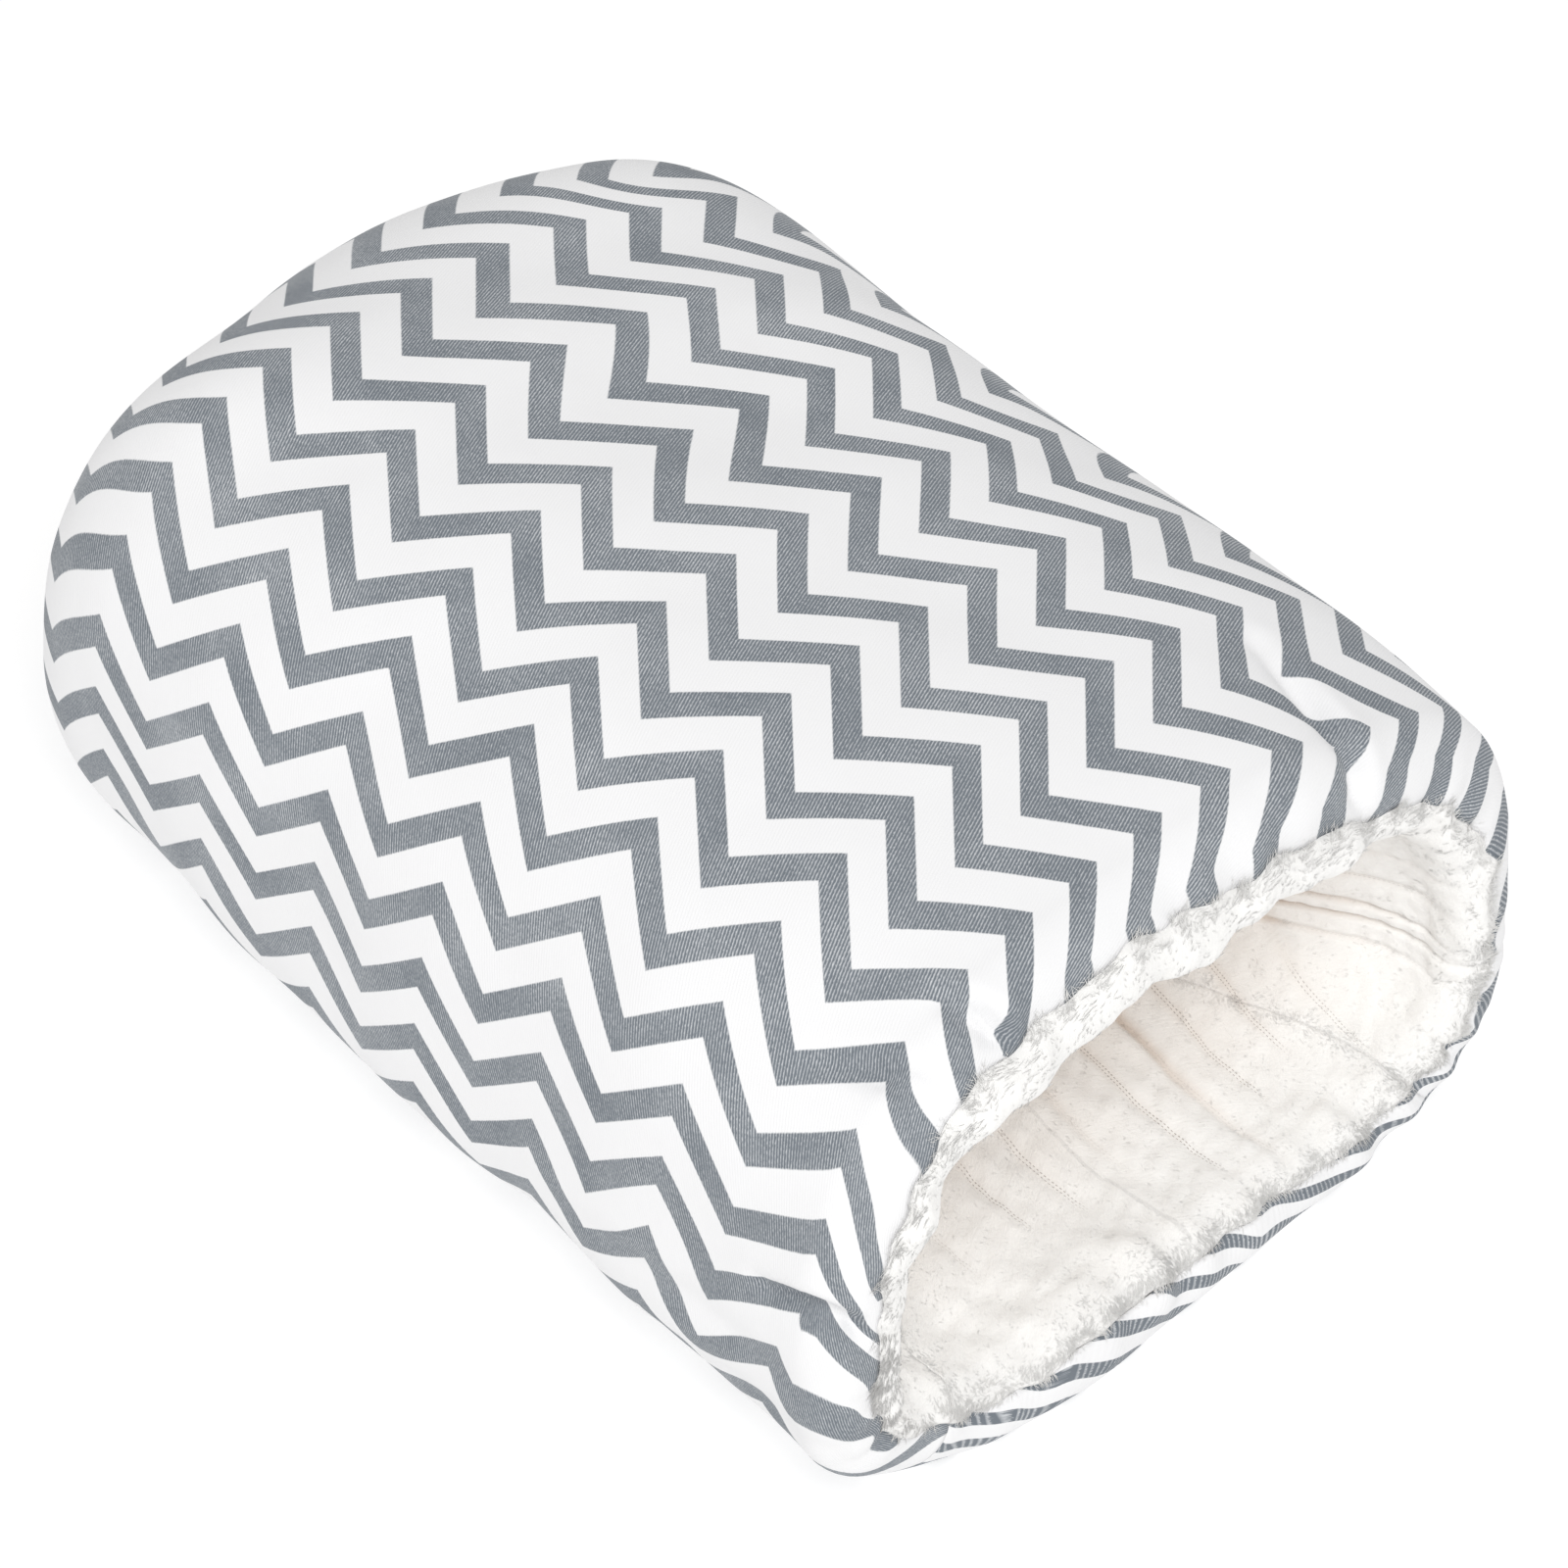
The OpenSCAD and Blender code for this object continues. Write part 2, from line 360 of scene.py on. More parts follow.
# name, start and end (across, along in mm), depth and width (mm)
TUCKS = (
    ("fold right of the mouth", (58, 104), (46, 164), 4.2, 3.6),
    ("pinch at the lip", (-76, 134), (-66, 158), 5.2, 3.0),
    ("crease above the pinch", (-104, 120), (-88, 150), 3.4, 3.0),
    ("pleat at the left corner", (-160, 128), (-140, 168), 5.2, 3.4),
    ("wrinkle by the left foot", (-205, 96), (-190, 150), 1.6, 5.0),
    ("second wrinkle by the left foot", (-190, 60), (-178, 140), 1.2, 5.0),
    ("soft dent on the left side", (-150, -10), (-118, 60), 0.9, 12.0),
    ("soft dent at the back", (-95, -110), (-60, -60), 1.0, 12.0),
)

# the relief of the stuffed cover, in mm: broad swells, small ripples, and the folds of its gathered ends
SWELL, SMALL_RIPPLE = 0.8, 0.25
HEM_FOLDS, HEM_REACH = 31, 10
CUFF_FOLDS, CUFF_REACH, CUFF_DEPTH = 44, 20, 1.5

COLS = 520
ANGLES = np.linspace(-math.pi, math.pi, COLS, endpoint=False) + math.pi / COLS
COVER_SHARES = side_shares(190)
ROLL_ROWS = 14
ZERO_SHARE = 0.467
ZERO_ROW = ROLL_ROWS + int(np.argmin(np.abs(COVER_SHARES - ZERO_SHARE)))

# where the cloth is pulled further: stripes, repeats, at which place across and spread, along and spread (mm)
PULLS = (
    ("back left edge", -0.55, 0.12, -110, 45, -125, 18),
    ("back right corner", 0.45, -0.22, 62, 20, -105, 15),
    ("right edge", -0.12, 0.24, 92, 14, -25, 80),
    ("left corner of the mouth", 0.0, -0.20, -145, 35, 145, 25),
    ("over the left corner", -0.50, -0.10, -100, 16, 160, 12),
    ("left foot, behind", 0.40, 0.10, -200, 18, -95, 50),
    ("left foot, in front", 0.30, 0.0, -190, 18, 95, 40),
    ("right shoulder", 0.36, 0.0, 84, 27, 0, 90),
    ("inside the right shoulder", -0.26, 0.0, 14, 26, -42, 45),
    ("right of the mouth", 0.0, -0.22, 64, 36, 138, 24),
    ("left of the pinch", -0.30, 0.0, -88, 20, 156, 13),
)


def print_drift(across, along):
    """How the stuffing pulls the print off its plain place, in stripes and in repeats: a cubic in the
    cloth's coordinates, whose coefficients are the rounded result of a fit, and the pulls above."""
    x, y = across / 100, along / 100
    stripes = -0.028 - 0.232 * x - 0.195 * y + 0.051 * x * y + 0.173 * y * y - 0.217 * x * x
    stripes += 0.088 * x * y * y + 0.073 * x * x * y + 0.031 * y ** 3
    repeats = 0.023 - 0.053 * x - 0.046 * y + 0.11 * x * y + 0.047 * y * y - 0.174 * x * x
    repeats += 0.076 * x * x * y + 0.012 * x * y * y - 0.07 * x ** 3
    for _, by_stripes, by_repeats, s, s_spread, t, t_spread in PULLS:
        near = bump(across - s, s_spread) * bump(along - t, t_spread)
        stripes += by_stripes * near
        repeats += by_repeats * near
    return stripes, repeats


def layers_of(grid, out, thickness):
    """The outer and inner face of a cloth that stands out from a grid; it never goes through the floor."""
    n = grid_normals(grid)
    face = grid + n * out[..., None]
    face[..., 2] = np.maximum(face[..., 2], 0.0)
    back = face - grid_normals(face) * thickness
    back[..., 2] = np.maximum(back[..., 2], thickness * 0.6)
    return face, back


# ---------------------------------------------------------------- the printed cover
plain = outside_grid(0, ANGLES, COVER_SHARES, ROLL_ROWS)
plain = plain + grid_normals(plain) * trim(plain, ANGLES)[..., None]
across, along = fabric_coordinates(plain, ANGLES, ZERO_ROW)
stripes, repeats = print_drift(across, along)
# the drift fades out along the bottom, where the left half's print meets the right half's
from_bottom = ease((np.abs(turn_gap(ANGLES, -90)) - 4) / 46)[None, :]
stripes, repeats = stripes * from_bottom, repeats * from_bottom
print_u = across / STRIPE_PITCH + PRINT_ACROSS + stripes
print_v = along / REPEAT + PRINT_ALONG + repeats
hem_distance = np.cumsum(np.linalg.norm(np.diff(plain, axis=0, prepend=plain[:1]), axis=-1), 0)
cuff_distance = hem_distance[-1:] - hem_distance
low = np.clip(-np.sin(ANGLES), 0, 1)[None, :]
# near the mouth the print runs straight on to the hem: from where (mm along), above and below,
# and past the left corner's pleat it turns back a little
STRAIGHT_ABOVE, STRAIGHT_BELOW, PLEAT = 147, 134, 140
below = ease((low - 0.35) / 0.3)
above = (1 - below) * ease((across + 78) / 40)
straight = above * np.maximum(along - STRAIGHT_ABOVE, 0) + below * np.maximum(along - STRAIGHT_BELOW, 0)
at_pleat = ease((-across - 138) / 24) * (1 - below)
straight = mix(straight, 1.4 * np.maximum(along - PLEAT, 0), at_pleat)
print_v = print_v - straight / REPEAT


def hem_wave(depth):
    """The waves of the gathered hem, which the cover and the lining share."""
    return gathers(21, ANGLES, HEM_FOLDS, depth, 0.02) * bump(depth, HEM_REACH) * (0.3 + 0.55 * low)


swell = SWELL * Ripple(11, 80)(plain)
relief = swell + SMALL_RIPPLE * Ripple(12, 28)(plain) * (0.4 + low) * ease(hem_distance / 10)
relief *= 1 - bump(hem_distance, 5)
relief += hem_wave(hem_distance)
cuff_folds = gathers(22, ANGLES, CUFF_FOLDS, cuff_distance, 0.05)
relief += cuff_folds * bump(cuff_distance, CUFF_REACH) * CUFF_DEPTH
for _, start, end, depth, width in TUCKS:
    gap = side_of(across, along, start, end)
    change = 0.45 * crease(across, along, start, end, 2.2 * width) * np.tanh(gap / width)
    change -= crease(across, along, start, end, width)
    relief += depth * change * ease((hem_distance - 1) / 4.5)
relief *= 1 - 0.85 * bump(plain[..., 2], 3.0)

outer, inner = layers_of(plain, relief, COVER_T)
# the underside's print runs on round the right side, so its left half is a whole turn further
whole = np.linalg.norm(np.roll(plain, -1, 1) - plain, axis=-1).sum(1, keepdims=True) / STRIPE_PITCH
under_u = np.where(across < 0, print_u + whole, print_u)

degrees = np.degrees(ANGLES)
turned = np.where(degrees < -90, degrees + 360, degrees)
order = np.argsort(turned)
upper_columns = order[(turned[order] > -SEAM_ANGLE) & (turned[order] < 180 + SEAM_ANGLE)]
under_columns = np.array([c for c in range(COLS) if -180 + SEAM_ANGLE <= degrees[c] <= -SEAM_ANGLE])
under_columns = np.concatenate([[upper_columns[-1]], under_columns, [upper_columns[0]]])
top_uv = np.stack([print_u, print_v], -1)
under_uv = np.stack([under_u, print_v], -1)
top_threads = {"threads_across": across, "threads_along": along}
under_across = np.where(across < 0, across + whole * STRIPE_PITCH, across)
under_threads = {"threads_across": under_across, "threads_along": along}
top_cover = panel("cover_top", outer, inner, upper_columns, top_uv, top_threads)
under_cover = panel("cover_underside", outer, inner, under_columns, under_uv, under_threads)

# ---------------------------------------------------------------- the plush lining
# The pile parts in lines along the sleeve: x, from and to which depth, how clear the stitches are, how deep
PARTINGS = (
    (-64, 34, 90, 0.3, 0.5), (-45, 26, 90, 0.4, 0.6), (-25, 26, 58, 1.0, 0.7), (-10, 22, 62, 0.9, 0.8),
    (7, 24, 90, 0.2, 0.9), (24, 9, 90, 1.0, 1.0), (38, 4, 90, 0.2, 1.7), (50, 20, 90, 0.9, 0.9),
    (64, 26, 90, 0.8, 1.0), (78, 12, 50, 0.6, 0.7),
)
# and up the right wall: angle, how clear, how deep
WALL_PARTINGS = ((-20, 0.3, 1.0), (-9, 0.5, 1.9), (0, 0.2, 1.7), (10, 0.4, 1.2), (20, 0.0, 0.8))

LINING_SHARES = np.linspace(0, 1, 205) ** 1.6
LINING_ROLL_ROWS = 22
tube = inside_grid(0, ANGLES, LINING_SHARES, LINING_ROLL_ROWS)
tube_in = np.cumsum(np.linalg.norm(np.diff(tube, axis=0, prepend=tube[:1]), axis=-1), 0)
moved = trim(tube, ANGLES) * bump(tube_in, 22) + hem_wave(tube_in)
tube = tube - grid_normals(tube) * moved[..., None]
tube_across, _ = fabric_coordinates(tube, ANGLES, 0)

nearest = np.full(tube_in.shape, 99.0)
clear = np.zeros(tube_in.shape)
fold = np.zeros(tube_in.shape)
on_floor = (np.sin(ANGLES) < 0)[None, :]
on_right = (np.cos(ANGLES) > 0)[None, :] & (tube[..., 0] > 60)
wander = 0.5 * np.sin(tube_in / 9) + 0.4 * np.sin(tube_in / 3.7)
lines = [(tube[..., 0] - x - wander * 0.5, on_floor & (np.abs(tube[..., 0]) < 84), lo, hi, stitch, deep)
         for x, lo, hi, stitch, deep in PARTINGS]
lines += [(turn_gap(ANGLES, angle)[None, :] * 1.45 + wander * 0.5, on_right, 12, 80, stitch, deep)
          for angle, stitch, deep in WALL_PARTINGS]
for gap, where, lo, hi, stitch, deep in lines:
    reach = ease((tube_in - lo) / 8) * ease((hi - tube_in) / 10) * where
    closer = (np.abs(gap) < np.abs(nearest)) & where
    nearest = np.where(closer, gap, nearest)
    clear = np.where(closer, stitch * reach, clear)
    fold += deep * bump(gap, 2.2) * ease((tube_in - lo + 10) / 25) * where

upper = (1 + np.sin(ANGLES))[None, :] / 2
rim = bump(tube_in - 7, 11) * ease(tube_in / 3.5)
stand = rim * mix(0.8, 3.4, upper) * (1 + 0.35 * Ripple(34, 22)(tube))
stand += 0.7 * Ripple(31, 45)(tube) * ease(tube_in / 20)
stand += 0.25 * Ripple(32, 11)(tube) + 0.12 * Ripple(33, 4.5)(tube)
tube_n = -grid_normals(tube)
plush_face = tube + tube_n * (stand - 1.1 * fold)[..., None]
plush_back = plush_face - tube_n * PLUSH_T
# how far into the sleeve; the plush material paints shade by it and by the depth of the folds
inwards = ease((tube_in - 12) / 60)
plush_uv = np.stack([tube_across, tube_in], -1) / UV_MM
plush_shades = {"fold": np.clip(fold / 1.6, 0, 1), "inwards": inwards, "line": nearest, "clear": clear}
roof = panel("lining_roof", plush_face, plush_back, upper_columns, plush_uv, plush_shades)
floor_lining = panel("lining_floor", plush_face, plush_back, under_columns, plush_uv, plush_shades)


# ---------------------------------------------------------------- the plush's pile
def sample(grid, rows, cols, down, side_step):
    """Values of a grid between its points; the columns wrap round."""
    r1, c1 = np.minimum(rows + 1, grid.shape[0] - 1), (cols + 1) % grid.shape[1]
    if grid.ndim == 3:
        down, side_step = down[:, None], side_step[:, None]
    first = mix(grid[rows, cols], grid[rows, c1], side_step)
    return mix(first, mix(grid[r1, cols], grid[r1, c1], side_step), down)


def unit(v):
    return v / np.maximum(np.linalg.norm(v, axis=-1, keepdims=True), 1e-9)


THIRD_TURN = 2.094


def pile(name, seed, count, density, length, width, lift, combed):
    """Fine tapering tufts lying on the plush, spread by density; length is a grid in mm, width a
    number of mm, lift a share of the length, and combed says how strongly they lean to the hem."""
    rng = np.random.default_rng(seed)
    area = np.linalg.norm(np.diff(plush_face, axis=0), axis=-1) * np.linalg.norm(
        np.roll(plush_face, -1, 1) - plush_face, axis=-1)[:-1]
    chance = (area * density[:-1]).ravel()
    cell = rng.choice(chance.size, count, p=chance / chance.sum())
    rows, cols = np.divmod(cell, COLS)
    down, step = rng.uniform(size=count), rng.uniform(size=count)
    root = sample(plush_face, rows, cols, down, step)
    n = unit(sample(tube_n, rows, cols, down, step))
    to_hem = unit(plush_face[rows, cols] - plush_face[rows + 1, cols])
    clump = np.stack([Ripple(seed + k, 7.0, 10)(root) for k in (1, 2, 3)], -1)
    lean = 0.6 * clump + 0.45 * rng.normal(size=(count, 3)) + combed * to_hem
    lean = unit(lean - n * (lean * n).sum(-1, keepdims=True))
    size = (sample(length, rows, cols, down, step) * rng.uniform(0.6, 1.15, count))[:, None]
    rise = lift * rng.uniform(0.5, 1.3, (count, 1))
    middle = root + size * (0.75 * rise * n + 0.5 * lean)
    tip = root + size * (rise * n + 0.95 * lean)
    side_way = unit(np.cross(n, lean))
    ring = []
    for k in range(3):
        spoke = side_way * math.cos(THIRD_TURN * k) + n * math.sin(THIRD_TURN * k)
        ring.append((root - 0.2 * n + spoke * width, middle + spoke * width * 0.8))
    verts = np.stack([ring[0][0], ring[1][0], ring[2][0], ring[0][1], ring[1][1], ring[2][1], tip], 1)
    base = np.arange(count)[:, None] * 7
    tris = np.concatenate([base + t for t in ((0, 2, 1), (3, 4, 6), (4, 5, 6), (5, 3, 6))])
    quads = np.concatenate([base + q for q in ((0, 1, 4, 3), (1, 2, 5, 4), (2, 0, 3, 5))])
    obj = link(name, verts.reshape(-1, 3), tris.tolist() + quads.tolist())
    soft = unit(n + 0.25 * lean)
    obj.data.normals_split_custom_set_from_vertices(np.repeat(soft, 7, 0).tolist())
    set_uv(obj, np.repeat(sample(plush_uv, rows, cols, down, step), 7, 0))
    for shade, grid in plush_shades.items():
        values = sample(grid, rows, cols, down, step)
        set_shade(obj, np.repeat(values, 7), shade)
    return obj


# the upper lip carries longer pile, and the lower hem and the panel seams a shorter one
seen = (np.sin(ANGLES) > -0.35)[None, :]
rim_band = (0.3 * bump(tube_in - 6, 13) + 1.5 * bump(tube_in, 3)) * seen
parted = 1 - 0.9 * bump(nearest, 1.0) * clear
rim_pile = pile("plush_pile_rim", seed=51, count=4600, density=rim_band,
                length=2.4 + 1.8 * bump(tube_in, 4), width=0.10, lift=0.06, combed=0.4)
hem_band = (bump(tube_in, 4) + 0.06 * (tube_in < 92)) * (np.sin(ANGLES) < 0.1)[None, :] * parted
seam_lines = bump(turn_gap(ANGLES, 180 + SEAM_ANGLE), 1.6) + bump(turn_gap(ANGLES, -SEAM_ANGLE), 1.6)
hem_band = hem_band + 1.2 * seam_lines[None, :] * (tube_in < 90)
floor_pile = pile("plush_pile_floor", seed=61, count=11000, density=hem_band,
                  length=1.5 + 1.3 * bump(tube_in, 5), width=0.11, lift=0.12, combed=0.5)


# ---------------------------------------------------------------- the hidden layers
def stuffing(name, low_angle, high_angle, gap, seed):
    """A soft layer between cover and lining, from one side seam to the other."""
    a = np.radians(np.linspace(low_angle, high_angle, 130))
    shares = side_shares(64)
    out = outside_grid(gap, a, shares, 8, 6)
    n = grid_normals(out)
    n[:, 0], n[:, -1] = n[:, 1], n[:, -2]
    out = out + n * (1.3 * np.minimum(trim(out, a), 0) + 0.6 * Ripple(seed, 14)(out))[..., None]
    out[..., 2] = np.maximum(out[..., 2], 1.5)
    inside = inside_grid(gap + 1, a, shares, 8, 6)
    for face, back_gap in ((out, 11), (inside, 11.5)):
        face[..., 1] = np.minimum(face[..., 1], BODY_L / 2 - back_gap)
    uv = out[..., :2] / UV_MM
    return panel(name, out, inside, np.arange(len(a)), uv)


def webbing(name, y0, width, seed):
    """A woven elastic ring behind the lining, drawn up into small waves."""
    a = np.linspace(-math.pi, math.pi, 240, endpoint=False)
    start, end = -BODY_L / 2 + lip_radius(a), BODY_L / 2 - CUFF_LIP
    rows = [tunnel((y0 + width * i / 8 - start) / (end - start), PLUSH_T + 1.6, a) for i in range(9)]
    grid = np.array(rows)
    n = grid_normals(grid)
    wave = 0.35 * gathers(seed, a, 60)[None, :, None]
    uv = np.stack(np.broadcast_arrays(np.arange(240)[None, :] / 4.0, np.arange(9)[:, None] / 1.0), -1)
    columns = np.append(np.arange(240), 0)
    return panel(name, grid + n * (1.0 + wave), grid + n * wave, columns, uv)


fill_body = stuffing("fill_body", -SEAM_ANGLE + 1, 180 + SEAM_ANGLE - 1, 6.0, 71)
wadding = stuffing("wadding_underside", -180 + SEAM_ANGLE + 1, -SEAM_ANGLE - 1, 5.0, 72)
mouth_webbing = webbing("webbing_mouth", -BODY_L / 2 + TOP_LIP + 2, 8, 81)
cuff_webbing = webbing("webbing_cuff", BODY_L / 2 - CUFF_LIP - 10, 8, 82)


# ---------------------------------------------------------------- materials
class Nodes:
    """Short helpers to build a node material."""

    def __init__(self, name):
        self.mat = bpy.data.materials.new(name)
        self.mat.use_nodes = True
        self.tree = self.mat.node_tree
        self.shader = self.tree.nodes["Principled BSDF"]

    def add(self, kind, **values):
        node = self.tree.nodes.new(kind)
        for key, value in values.items():
            setattr(node, key, value)
        return node

    def join(self, source, target):
        self.tree.links.new(source, target)

    def math(self, operation, *inputs, clamp=False):
        node = self.add("ShaderNodeMath", operation=operation, use_clamp=clamp)
        for slot, value in zip(node.inputs, inputs):
            if isinstance(value, (int, float)):
                slot.default_value = value
            else:
                self.join(value, slot)
        return node.outputs[0]

    def noise(self, vector, scale, detail=3.0, roughness=0.55):
        node = self.add("ShaderNodeTexNoise")
        node.inputs["Scale"].default_value = scale
        node.inputs["Detail"].default_value = detail
        node.inputs["Roughness"].default_value = roughness
        self.join(vector, node.inputs["Vector"])
        return node.outputs["Fac"]

    def blend(self, factor, first, second):
        node = self.add("ShaderNodeMix", data_type="RGBA")
        for slot, value in zip((node.inputs[k] for k in ("Factor", "A", "B")), (factor, first, second)):
            if isinstance(value, tuple):
                slot.default_value = (*value, 1)
            elif isinstance(value, (int, float)):
                slot.default_value = value
            else:
                self.join(value, slot)
        return node.outputs["Result"]

    def surface(self, roughness, specular=0.5, sheen=0.0, sheen_roughness=0.5):
        for key, value in (("Roughness", roughness), ("Specular IOR Level", specular),
                           ("Sheen Weight", sheen), ("Sheen Roughness", sheen_roughness)):
            self.shader.inputs[key].default_value = value

    def bump(self, height, strength, distance):
        node = self.add("ShaderNodeBump")
        node.inputs["Strength"].default_value = strength
        node.inputs["Distance"].default_value = distance
        self.join(height, node.inputs["Height"])
        self.join(node.outputs["Normal"], self.shader.inputs["Normal"])


GREY_INK, GREY_BARE = (0.172, 0.194, 0.219), (0.65, 0.665, 0.685)
WHITE_SHADED, WHITE_BRIGHT = (0.865, 0.86, 0.865), (0.90, 0.90, 0.905)
PLUSH_WHITE = (0.90, 0.89, 0.87), (0.95, 0.942, 0.925)
# painted shade: the cream tones are the plush's white where shade falls deep inside the sleeve
PLUSH_CREAM_SHADE = (0.88, 0.818, 0.765), (0.945, 0.905, 0.862)
# painted shade: the first brown darkens the lining's folds
FOLD_SHADE_BROWN, THREAD_BROWN = (0.60, 0.47, 0.37), (0.24, 0.19, 0.16)
# the direction across the twill's ribs, in the cloth's plane; the second direction lies along them
RIB_ACROSS, RIB_ALONG = 0.375, 0.927
# rows of stitches: half the distance between the two rows, and one stitch, in mm
ROW_GAP, STITCH = 0.45, 1.15


def twill_material():
    """White cotton twill with a grey zigzag print; u counts stripes across and v repeats along."""
    n = Nodes("chevron_twill")
    uv = n.add("ShaderNodeUVMap", uv_map="fabric").outputs["UV"]
    split = n.add("ShaderNodeSeparateXYZ")
    n.join(uv, split.inputs[0])
    u, v = split.outputs[0], split.outputs[1]
    place = n.add("ShaderNodeTexCoord").outputs["Object"]

    # the print: a zigzag line, repeated once for each stripe, with slightly rough edges
    edge = n.math("MULTIPLY", n.math("SUBTRACT", n.noise(place, 1600, 2), 0.5), EDGE_WANDER)
    phase = n.math("FRACT", v)
    zigzag = n.math("SUBTRACT", 1.0, n.math("ABSOLUTE", n.math("MULTIPLY_ADD", phase, 2.0, -1.0)))
    line = n.math("MULTIPLY_ADD", zigzag, -ZIGZAG_SWING, n.math("ADD", n.math("ADD", u, FIRST_LINE), edge))
    off = n.math("ABSOLUTE", n.math("SUBTRACT", line, n.math("ROUND", line)))
    ink = n.math("MULTIPLY_ADD", n.math("SUBTRACT", HALF_LINE, off), 45.0, 0.5, clamp=True)

    # the twill: ribs lying about 22 degrees off the across direction, broken into single floats
    across, along = (n.add("ShaderNodeAttribute", attribute_name=name).outputs["Fac"]
                     for name in ("threads_across", "threads_along"))
    to_rib = n.math("ADD", n.math("MULTIPLY", across, RIB_ACROSS), n.math("MULTIPLY", along, RIB_ALONG))
    on_rib = n.math("ADD", n.math("MULTIPLY", across, RIB_ALONG), n.math("MULTIPLY", along, -RIB_ACROSS))
    threads = n.add("ShaderNodeCombineXYZ")
    n.join(n.math("MULTIPLY", to_rib, 1.0), threads.inputs[0])
    n.join(n.math("MULTIPLY", on_rib, 0.42), threads.inputs[1])
    broken = n.noise(threads.outputs[0], 2.6, 2, 0.6)
    uneven = n.math("MULTIPLY", broken, 3.0)
    rib = n.math("SINE", n.math("MULTIPLY_ADD", to_rib, 2 * math.pi / TWILL_PITCH, uneven))
    worn = n.noise(place, 45, 3)
    bare = n.math("ADD", n.math("MULTIPLY", rib, 0.5), n.math("MULTIPLY_ADD", broken, 1.6, -0.72))
    bare = n.math("ADD", bare, n.math("MULTIPLY_ADD", worn, 0.9, -0.45), clamp=True)
    grey = n.blend(bare, GREY_INK, GREY_BARE)
    white = n.blend(n.noise(place, 70, 3), WHITE_SHADED, WHITE_BRIGHT)
    n.join(n.blend(ink, white, grey), n.shader.inputs["Base Color"])
    n.surface(0.85, specular=0.2, sheen=0.08)
    crimp = n.noise(place, 260, 3, 0.6)
    n.bump(n.math("ADD", n.math("MULTIPLY", rib, 0.5), n.math("MULTIPLY", crimp, 0.8)), 0.25, 0.0002)
    return n.mat


def plush_material(name, through=0.0, glow=0.0):
    """White plush with painted shade: it turns cream deeper inside the sleeve and brown in its folds; with
    rows of stitches where the pile parts.
    through is the share of the light that passes through its fibres, and glow stands for the light
    that comes back out of the depth of the pile."""
    n = Nodes(name)
    uv = n.add("ShaderNodeUVMap", uv_map="fabric").outputs["UV"]
    split = n.add("ShaderNodeSeparateXYZ")
    n.join(uv, split.inputs[0])
    place = n.add("ShaderNodeTexCoord").outputs["Object"]
    fold, inwards, line, clear = (n.add("ShaderNodeAttribute", attribute_name=shade).outputs["Fac"]
                                  for shade in ("fold", "inwards", "line", "clear"))
    streaks = n.add("ShaderNodeMapping")
    streaks.inputs["Scale"].default_value = (1.0, 0.3, 1.0)
    n.join(uv, streaks.inputs["Vector"])
    lay = n.noise(streaks.outputs["Vector"], 7, 4, 0.7)
    clump = n.noise(place, 420, 4, 0.65)
    patches = n.noise(place, 55, 2)
    white = n.blend(lay, *PLUSH_WHITE)
    shaded_cream = n.blend(lay, *PLUSH_CREAM_SHADE)
    patchy = n.math("MULTIPLY_ADD", patches, 0.9, 0.45)
    # painted shade: white near the mouth turning cream deeper inside the sleeve, in patches
    base = n.blend(n.math("MULTIPLY", inwards, patchy, clamp=True), white, shaded_cream)
    # painted shade in the folds of the partings, stronger deeper inside the sleeve
    deeper = n.math("MULTIPLY_ADD", inwards, 0.6, 0.1)
    fold_shade = n.math("MULTIPLY", n.math("MULTIPLY", fold, fold), deeper, clamp=True)
    base = n.blend(fold_shade, base, FOLD_SHADE_BROWN)

    # two rows of stitch holes on each parting line
    row = n.math("ABSOLUTE", n.math("SUBTRACT", n.math("ABSOLUTE", line), ROW_GAP))
    thin = n.math("MULTIPLY_ADD", row, -6.0, 1.0, clamp=True)
    beat = n.math("SINE", n.math("MULTIPLY", split.outputs[1], 2 * math.pi * UV_MM / STITCH))
    dots = n.math("MULTIPLY", thin, n.math("MULTIPLY_ADD", beat, 1.2, 0.5, clamp=True))
    sewn = n.blend(n.math("MULTIPLY", dots, clear, clamp=True), base, THREAD_BROWN)
    n.join(sewn, n.shader.inputs["Base Color"])
    n.surface(0.95, specular=0.1, sheen=0.25, sheen_roughness=0.4)
    if through:
        n.join(sewn, n.shader.inputs["Emission Color"])
        n.shader.inputs["Emission Strength"].default_value = glow
        passing = n.add("ShaderNodeBsdfTranslucent")
        n.join(sewn, passing.inputs["Color"])
        both = n.add("ShaderNodeMixShader")
        both.inputs[0].default_value = through
        n.join(n.shader.outputs[0], both.inputs[1])
        n.join(passing.outputs[0], both.inputs[2])
        n.join(both.outputs[0], n.tree.nodes["Material Output"].inputs["Surface"])
    else:
        n.bump(n.math("ADD", n.math("MULTIPLY", clump, 0.7), n.math("MULTIPLY", lay, 0.5)), 0.5, 0.001)
    return n.mat


def plain_cloth(name, colour, scale):
    n = Nodes(name)
    place = n.add("ShaderNodeTexCoord").outputs["Object"]
    fibre = n.noise(place, scale, 5, 0.7)
    dark = tuple(c * 0.85 for c in colour)
    n.join(n.blend(fibre, dark, colour), n.shader.inputs["Base Color"])
    n.surface(0.95)
    n.bump(fibre, 0.5, 0.0008)
    return n.mat


TWILL = twill_material()
PLUSH = plush_material("plush")
PILE = plush_material("plush_pile", through=0.35, glow=0.15)
FIBRE = plain_cloth("fibre_fill", (0.93, 0.93, 0.92), 300)
WEBBING = plain_cloth("elastic_webbing", (0.90, 0.89, 0.86), 1500)


def finish_piece(obj, material, slot, *nodes):
    obj.data.materials.clear()
    obj.data.materials.append(material)
    if nodes:
        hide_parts(*nodes)


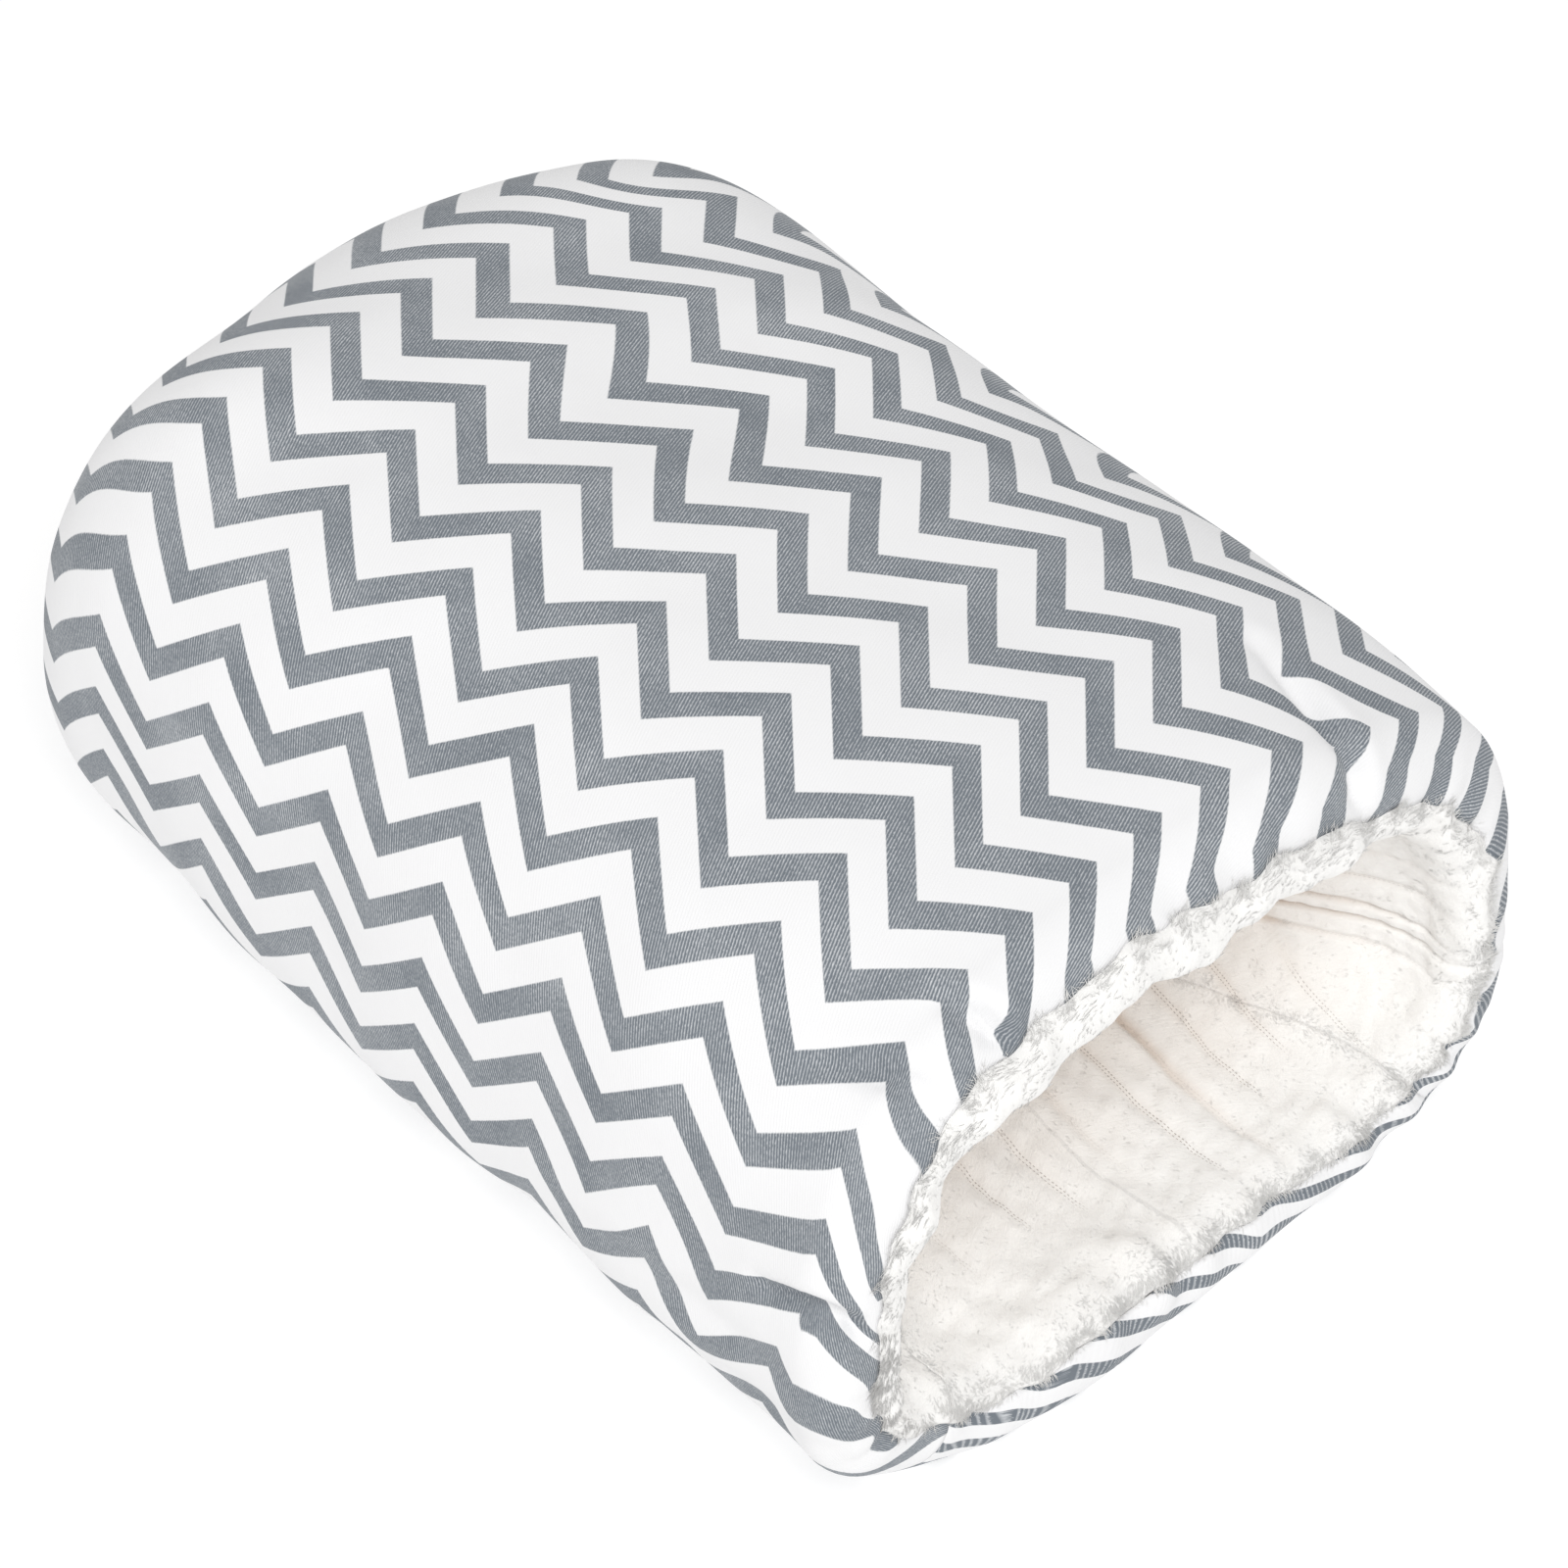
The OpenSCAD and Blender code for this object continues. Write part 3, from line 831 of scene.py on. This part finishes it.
finish_piece(top_cover, TWILL, "chevron_twill", "top_cover")
finish_piece(under_cover, TWILL, "chevron_twill", "underside_cover")
finish_piece(roof, PLUSH, "plush", "lining_upper")
finish_piece(floor_lining, PLUSH, "plush", "lining_lower")
finish_piece(rim_pile, PILE, "plush")
finish_piece(floor_pile, PILE, "plush")
finish_piece(fill_body, FIBRE, "fibre_fill", "fill_pad")
finish_piece(wadding, FIBRE, "wadding", "underside_wadding")
finish_piece(mouth_webbing, WEBBING, "elastic", "mouth_elastic")
finish_piece(cuff_webbing, WEBBING, "elastic", "cuff_elastic")


# ---------------------------------------------------------------- floor, light and camera
# the floor reflects a little and emits the rest, so that it comes out pure white round a soft shadow
FLOOR_GREY, FLOOR_GLOW, FLOOR_HALF, FLOOR_Z = 0.46, 0.62, 30.0, -0.0002
WORLD_LIGHT = 0.60
KEY_PLACE, KEY_AIM, KEY_SIZE, KEY_POWER = (-1.17, -1.25, 2.19), (0, 0, 0.05), 1.4, 37


def stage_floor():
    n = Nodes("studio_white")
    n.shader.inputs["Base Color"].default_value = (FLOOR_GREY, FLOOR_GREY, FLOOR_GREY, 1)
    n.surface(0.9, specular=0.1)
    n.shader.inputs["Emission Color"].default_value = (1, 1, 1, 1)
    n.shader.inputs["Emission Strength"].default_value = FLOOR_GLOW
    mesh = bpy.data.meshes.new("studio_floor")
    corners = [(x * FLOOR_HALF, y * FLOOR_HALF, FLOOR_Z) for x, y in ((-1, -1), (1, -1), (1, 1), (-1, 1))]
    mesh.from_pydata(corners, [], [(0, 1, 2, 3)])
    obj = bpy.data.objects.new("studio_floor", mesh)
    obj.data.materials.append(n.mat)
    bpy.context.scene.collection.objects.link(obj)


def area_light(name, place, aim, size, power):
    light = bpy.data.lights.new(name, "AREA")
    light.shape = "DISK"
    light.size = size
    light.energy = power
    obj = bpy.data.objects.new(name, light)
    obj.location = place
    obj.rotation_mode = "QUATERNION"
    obj.rotation_quaternion = (Vector(aim) - Vector(place)).to_track_quat("-Z", "Y")
    bpy.context.scene.collection.objects.link(obj)


def studio():
    stage_floor()
    world = bpy.data.worlds.new("studio")
    world.use_nodes = True
    world.node_tree.nodes["Background"].inputs["Color"].default_value = (1, 1, 1, 1)
    world.node_tree.nodes["Background"].inputs["Strength"].default_value = WORLD_LIGHT
    bpy.context.scene.world = world
    area_light("key", KEY_PLACE, KEY_AIM, KEY_SIZE, KEY_POWER)
    bpy.context.scene.view_settings.view_transform = "Standard"


CAMERA_AIM = Vector((0.0087, -0.0137, 0.050))
CAMERA_AZIMUTH, CAMERA_ELEVATION, CAMERA_ROLL = math.radians(-50.84), math.radians(42.57), math.radians(9.09)
CAMERA_DISTANCE, CAMERA_LENS = 1.156, 110.3


def camera():
    az, el, roll = CAMERA_AZIMUTH, CAMERA_ELEVATION, CAMERA_ROLL
    back = Vector((math.sin(az) * math.cos(el), -math.cos(az) * math.cos(el), math.sin(el)))
    level = Vector((math.cos(az), math.sin(az), 0))
    up = back.cross(level)
    right = level * math.cos(roll) + up * math.sin(roll)
    turn = Matrix((right, back.cross(right), back)).transposed()
    data = bpy.data.cameras.new("camera")
    data.lens = CAMERA_LENS
    obj = bpy.data.objects.new("camera", data)
    obj.rotation_mode = "QUATERNION"
    obj.rotation_quaternion = turn.to_quaternion()
    obj.location = CAMERA_AIM + back * CAMERA_DISTANCE
    bpy.context.scene.collection.objects.link(obj)
    bpy.context.scene.camera = obj


studio()
camera()
